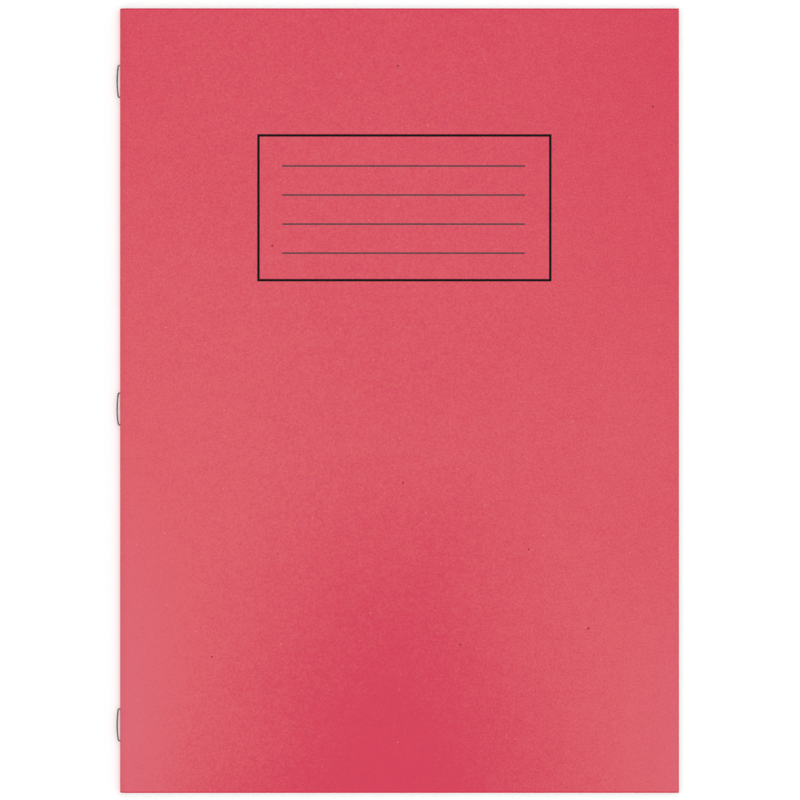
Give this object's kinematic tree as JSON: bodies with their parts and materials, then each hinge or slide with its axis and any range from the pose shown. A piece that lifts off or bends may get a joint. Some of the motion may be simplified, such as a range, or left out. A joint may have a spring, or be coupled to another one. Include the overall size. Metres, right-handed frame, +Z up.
{
  "type": "stapled exercise book",
  "caption": "Exercise book of nested ruled sheets in a folded card cover, held on the fold by clinched wire staples; the cover turns and the leaves open at the middle.",
  "frame": {"origin": "middle of the closed book's footprint, staples included, on the surface it lies on", "axes": "+X from the spine to the fore-edge, +Y to the head, +Z up through the front cover"},
  "size_m": [0.2132, 0.297, 0.0056],
  "materials": {
    "cover_card": "matte manilla card, pinkish red, finely mottled",
    "leaf_paper": "uncoated white writing paper, feint ruled with a margin",
    "staple_wire": "drawn steel wire"
  },
  "bodies": {
    "back_cover": {"back_cover": "cover_card"},
    "spine": {"cover_fold": "cover_card", "sheet_folds": "leaf_paper", "staples": "staple_wire"},
    "leaf_01": {"leaf_01": "leaf_paper"},
    "leaf_02": {"leaf_02": "leaf_paper"},
    "leaf_03": {"leaf_03": "leaf_paper"},
    "leaf_04": {"leaf_04": "leaf_paper"},
    "leaf_05": {"leaf_05": "leaf_paper"},
    "leaf_06": {"leaf_06": "leaf_paper"},
    "leaf_07": {"leaf_07": "leaf_paper"},
    "leaf_08": {"leaf_08": "leaf_paper"},
    "leaf_09": {"leaf_09": "leaf_paper"},
    "leaf_10": {"leaf_10": "leaf_paper"},
    "leaf_11": {"leaf_11": "leaf_paper"},
    "leaf_12": {"leaf_12": "leaf_paper"},
    "leaf_13": {"leaf_13": "leaf_paper"},
    "leaf_14": {"leaf_14": "leaf_paper"},
    "leaf_15": {"leaf_15": "leaf_paper"},
    "leaf_16": {"leaf_16": "leaf_paper"},
    "leaf_17": {"leaf_17": "leaf_paper"},
    "leaf_18": {"leaf_18": "leaf_paper"},
    "leaf_19": {"leaf_19": "leaf_paper"},
    "leaf_20": {"leaf_20": "leaf_paper"},
    "leaf_21": {"leaf_21": "leaf_paper"},
    "leaf_22": {"leaf_22": "leaf_paper"},
    "leaf_23": {"leaf_23": "leaf_paper"},
    "leaf_24": {"leaf_24": "leaf_paper"},
    "leaf_25": {"leaf_25": "leaf_paper"},
    "leaf_26": {"leaf_26": "leaf_paper"},
    "leaf_27": {"leaf_27": "leaf_paper"},
    "leaf_28": {"leaf_28": "leaf_paper"},
    "leaf_29": {"leaf_29": "leaf_paper"},
    "leaf_30": {"leaf_30": "leaf_paper"},
    "leaf_31": {"leaf_31": "leaf_paper"},
    "leaf_32": {"leaf_32": "leaf_paper"},
    "leaf_33": {"leaf_33": "leaf_paper"},
    "leaf_34": {"leaf_34": "leaf_paper"},
    "leaf_35": {"leaf_35": "leaf_paper"},
    "leaf_36": {"leaf_36": "leaf_paper"},
    "leaf_37": {"leaf_37": "leaf_paper"},
    "leaf_38": {"leaf_38": "leaf_paper"},
    "leaf_39": {"leaf_39": "leaf_paper"},
    "leaf_40": {"leaf_40": "leaf_paper"},
    "front_cover": {"front_cover": "cover_card"}
  },
  "joints": [
    {"name": "book_opening", "type": "hinge", "parent": "back_cover", "child": "leaf_01", "pos_m": [-0.10232, 0, 0.00282], "axis": [0, -1, 0], "range_deg": [0, 179.5]},
    {"name": "leaf_02_turn", "type": "hinge", "parent": "back_cover", "child": "leaf_02", "pos_m": [-0.10232, 0, 0.00282], "axis": [0, -1, 0], "range_deg": [0, 179.44]},
    {"name": "leaf_03_turn", "type": "hinge", "parent": "back_cover", "child": "leaf_03", "pos_m": [-0.10232, 0, 0.00282], "axis": [0, -1, 0], "range_deg": [0, 179.38]},
    {"name": "leaf_04_turn", "type": "hinge", "parent": "back_cover", "child": "leaf_04", "pos_m": [-0.10232, 0, 0.00282], "axis": [0, -1, 0], "range_deg": [0, 179.32]},
    {"name": "leaf_05_turn", "type": "hinge", "parent": "back_cover", "child": "leaf_05", "pos_m": [-0.10232, 0, 0.00282], "axis": [0, -1, 0], "range_deg": [0, 179.26]},
    {"name": "leaf_06_turn", "type": "hinge", "parent": "back_cover", "child": "leaf_06", "pos_m": [-0.10232, 0, 0.00282], "axis": [0, -1, 0], "range_deg": [0, 179.2]},
    {"name": "leaf_07_turn", "type": "hinge", "parent": "back_cover", "child": "leaf_07", "pos_m": [-0.10232, 0, 0.00282], "axis": [0, -1, 0], "range_deg": [0, 179.14]},
    {"name": "leaf_08_turn", "type": "hinge", "parent": "back_cover", "child": "leaf_08", "pos_m": [-0.10232, 0, 0.00282], "axis": [0, -1, 0], "range_deg": [0, 179.08]},
    {"name": "leaf_09_turn", "type": "hinge", "parent": "back_cover", "child": "leaf_09", "pos_m": [-0.10232, 0, 0.00282], "axis": [0, -1, 0], "range_deg": [0, 179.02]},
    {"name": "leaf_10_turn", "type": "hinge", "parent": "back_cover", "child": "leaf_10", "pos_m": [-0.10232, 0, 0.00282], "axis": [0, -1, 0], "range_deg": [0, 178.96]},
    {"name": "leaf_11_turn", "type": "hinge", "parent": "back_cover", "child": "leaf_11", "pos_m": [-0.10232, 0, 0.00282], "axis": [0, -1, 0], "range_deg": [0, 178.9]},
    {"name": "leaf_12_turn", "type": "hinge", "parent": "back_cover", "child": "leaf_12", "pos_m": [-0.10232, 0, 0.00282], "axis": [0, -1, 0], "range_deg": [0, 178.84]},
    {"name": "leaf_13_turn", "type": "hinge", "parent": "back_cover", "child": "leaf_13", "pos_m": [-0.10232, 0, 0.00282], "axis": [0, -1, 0], "range_deg": [0, 178.78]},
    {"name": "leaf_14_turn", "type": "hinge", "parent": "back_cover", "child": "leaf_14", "pos_m": [-0.10232, 0, 0.00282], "axis": [0, -1, 0], "range_deg": [0, 178.72]},
    {"name": "leaf_15_turn", "type": "hinge", "parent": "back_cover", "child": "leaf_15", "pos_m": [-0.10232, 0, 0.00282], "axis": [0, -1, 0], "range_deg": [0, 178.66]},
    {"name": "leaf_16_turn", "type": "hinge", "parent": "back_cover", "child": "leaf_16", "pos_m": [-0.10232, 0, 0.00282], "axis": [0, -1, 0], "range_deg": [0, 178.6]},
    {"name": "leaf_17_turn", "type": "hinge", "parent": "back_cover", "child": "leaf_17", "pos_m": [-0.10232, 0, 0.00282], "axis": [0, -1, 0], "range_deg": [0, 178.54]},
    {"name": "leaf_18_turn", "type": "hinge", "parent": "back_cover", "child": "leaf_18", "pos_m": [-0.10232, 0, 0.00282], "axis": [0, -1, 0], "range_deg": [0, 178.48]},
    {"name": "leaf_19_turn", "type": "hinge", "parent": "back_cover", "child": "leaf_19", "pos_m": [-0.10232, 0, 0.00282], "axis": [0, -1, 0], "range_deg": [0, 178.42]},
    {"name": "leaf_20_turn", "type": "hinge", "parent": "back_cover", "child": "leaf_20", "pos_m": [-0.10232, 0, 0.00282], "axis": [0, -1, 0], "range_deg": [0, 178.36]},
    {"name": "leaf_21_turn", "type": "hinge", "parent": "back_cover", "child": "leaf_21", "pos_m": [-0.10232, 0, 0.00282], "axis": [0, -1, 0], "range_deg": [0, 1.2]},
    {"name": "leaf_22_turn", "type": "hinge", "parent": "back_cover", "child": "leaf_22", "pos_m": [-0.10232, 0, 0.00282], "axis": [0, -1, 0], "range_deg": [0, 1.14]},
    {"name": "leaf_23_turn", "type": "hinge", "parent": "back_cover", "child": "leaf_23", "pos_m": [-0.10232, 0, 0.00282], "axis": [0, -1, 0], "range_deg": [0, 1.08]},
    {"name": "leaf_24_turn", "type": "hinge", "parent": "back_cover", "child": "leaf_24", "pos_m": [-0.10232, 0, 0.00282], "axis": [0, -1, 0], "range_deg": [0, 1.02]},
    {"name": "leaf_25_turn", "type": "hinge", "parent": "back_cover", "child": "leaf_25", "pos_m": [-0.10232, 0, 0.00282], "axis": [0, -1, 0], "range_deg": [0, 0.9601]},
    {"name": "leaf_26_turn", "type": "hinge", "parent": "back_cover", "child": "leaf_26", "pos_m": [-0.10232, 0, 0.00282], "axis": [0, -1, 0], "range_deg": [0, 0.9001]},
    {"name": "leaf_27_turn", "type": "hinge", "parent": "back_cover", "child": "leaf_27", "pos_m": [-0.10232, 0, 0.00282], "axis": [0, -1, 0], "range_deg": [0, 0.8401]},
    {"name": "leaf_28_turn", "type": "hinge", "parent": "back_cover", "child": "leaf_28", "pos_m": [-0.10232, 0, 0.00282], "axis": [0, -1, 0], "range_deg": [0, 0.7801]},
    {"name": "leaf_29_turn", "type": "hinge", "parent": "back_cover", "child": "leaf_29", "pos_m": [-0.10232, 0, 0.00282], "axis": [0, -1, 0], "range_deg": [0, 0.7201]},
    {"name": "leaf_30_turn", "type": "hinge", "parent": "back_cover", "child": "leaf_30", "pos_m": [-0.10232, 0, 0.00282], "axis": [0, -1, 0], "range_deg": [0, 0.6601]},
    {"name": "leaf_31_turn", "type": "hinge", "parent": "back_cover", "child": "leaf_31", "pos_m": [-0.10232, 0, 0.00282], "axis": [0, -1, 0], "range_deg": [0, 0.6001]},
    {"name": "leaf_32_turn", "type": "hinge", "parent": "back_cover", "child": "leaf_32", "pos_m": [-0.10232, 0, 0.00282], "axis": [0, -1, 0], "range_deg": [0, 0.5401]},
    {"name": "leaf_33_turn", "type": "hinge", "parent": "back_cover", "child": "leaf_33", "pos_m": [-0.10232, 0, 0.00282], "axis": [0, -1, 0], "range_deg": [0, 0.4801]},
    {"name": "leaf_34_turn", "type": "hinge", "parent": "back_cover", "child": "leaf_34", "pos_m": [-0.10232, 0, 0.00282], "axis": [0, -1, 0], "range_deg": [0, 0.4201]},
    {"name": "leaf_35_turn", "type": "hinge", "parent": "back_cover", "child": "leaf_35", "pos_m": [-0.10232, 0, 0.00282], "axis": [0, -1, 0], "range_deg": [0, 0.3601]},
    {"name": "leaf_36_turn", "type": "hinge", "parent": "back_cover", "child": "leaf_36", "pos_m": [-0.10232, 0, 0.00282], "axis": [0, -1, 0], "range_deg": [0, 0.3001]},
    {"name": "leaf_37_turn", "type": "hinge", "parent": "back_cover", "child": "leaf_37", "pos_m": [-0.10232, 0, 0.00282], "axis": [0, -1, 0], "range_deg": [0, 0.2401]},
    {"name": "leaf_38_turn", "type": "hinge", "parent": "back_cover", "child": "leaf_38", "pos_m": [-0.10232, 0, 0.00282], "axis": [0, -1, 0], "range_deg": [0, 0.1801]},
    {"name": "leaf_39_turn", "type": "hinge", "parent": "back_cover", "child": "leaf_39", "pos_m": [-0.10232, 0, 0.00282], "axis": [0, -1, 0], "range_deg": [0, 0.1201]},
    {"name": "leaf_40_turn", "type": "hinge", "parent": "back_cover", "child": "leaf_40", "pos_m": [-0.10232, 0, 0.00282], "axis": [0, -1, 0], "range_deg": [0, 0.0601]},
    {"name": "spine_turn", "type": "hinge", "parent": "back_cover", "child": "spine", "pos_m": [-0.10232, 0, 0.00282], "axis": [0, -1, 0], "range_deg": [0, 89.75], "deforming": ["cover_fold", "sheet_folds"]},
    {"name": "front_cover_turn", "type": "hinge", "parent": "leaf_01", "child": "front_cover", "pos_m": [-0.10231, 0, 0.00567], "axis": [0, -1, 0], "range_deg": [0, 179.5]}
  ],
  "couplings": [
    {"joint": "leaf_02_turn", "follows": "book_opening", "ratio": 0.99967},
    {"joint": "leaf_03_turn", "follows": "book_opening", "ratio": 0.99933},
    {"joint": "leaf_04_turn", "follows": "book_opening", "ratio": 0.999},
    {"joint": "leaf_05_turn", "follows": "book_opening", "ratio": 0.99866},
    {"joint": "leaf_06_turn", "follows": "book_opening", "ratio": 0.99833},
    {"joint": "leaf_07_turn", "follows": "book_opening", "ratio": 0.99799},
    {"joint": "leaf_08_turn", "follows": "book_opening", "ratio": 0.99766},
    {"joint": "leaf_09_turn", "follows": "book_opening", "ratio": 0.99733},
    {"joint": "leaf_10_turn", "follows": "book_opening", "ratio": 0.99699},
    {"joint": "leaf_11_turn", "follows": "book_opening", "ratio": 0.99666},
    {"joint": "leaf_12_turn", "follows": "book_opening", "ratio": 0.99632},
    {"joint": "leaf_13_turn", "follows": "book_opening", "ratio": 0.99599},
    {"joint": "leaf_14_turn", "follows": "book_opening", "ratio": 0.99565},
    {"joint": "leaf_15_turn", "follows": "book_opening", "ratio": 0.99532},
    {"joint": "leaf_16_turn", "follows": "book_opening", "ratio": 0.99499},
    {"joint": "leaf_17_turn", "follows": "book_opening", "ratio": 0.99465},
    {"joint": "leaf_18_turn", "follows": "book_opening", "ratio": 0.99432},
    {"joint": "leaf_19_turn", "follows": "book_opening", "ratio": 0.99398},
    {"joint": "leaf_20_turn", "follows": "book_opening", "ratio": 0.99365},
    {"joint": "leaf_21_turn", "follows": "book_opening", "ratio": 0.0066852},
    {"joint": "leaf_22_turn", "follows": "book_opening", "ratio": 0.006351},
    {"joint": "leaf_23_turn", "follows": "book_opening", "ratio": 0.0060167},
    {"joint": "leaf_24_turn", "follows": "book_opening", "ratio": 0.0056825},
    {"joint": "leaf_25_turn", "follows": "book_opening", "ratio": 0.0053482},
    {"joint": "leaf_26_turn", "follows": "book_opening", "ratio": 0.0050139},
    {"joint": "leaf_27_turn", "follows": "book_opening", "ratio": 0.0046797},
    {"joint": "leaf_28_turn", "follows": "book_opening", "ratio": 0.0043454},
    {"joint": "leaf_29_turn", "follows": "book_opening", "ratio": 0.0040111},
    {"joint": "leaf_30_turn", "follows": "book_opening", "ratio": 0.0036769},
    {"joint": "leaf_31_turn", "follows": "book_opening", "ratio": 0.0033426},
    {"joint": "leaf_32_turn", "follows": "book_opening", "ratio": 0.0030084},
    {"joint": "leaf_33_turn", "follows": "book_opening", "ratio": 0.0026741},
    {"joint": "leaf_34_turn", "follows": "book_opening", "ratio": 0.0023398},
    {"joint": "leaf_35_turn", "follows": "book_opening", "ratio": 0.0020056},
    {"joint": "leaf_36_turn", "follows": "book_opening", "ratio": 0.0016713},
    {"joint": "leaf_37_turn", "follows": "book_opening", "ratio": 0.001337},
    {"joint": "leaf_38_turn", "follows": "book_opening", "ratio": 0.0010028},
    {"joint": "leaf_39_turn", "follows": "book_opening", "ratio": 0.00066852},
    {"joint": "leaf_40_turn", "follows": "book_opening", "ratio": 0.00033426},
    {"joint": "spine_turn", "follows": "book_opening", "ratio": 0.5}
  ]
}
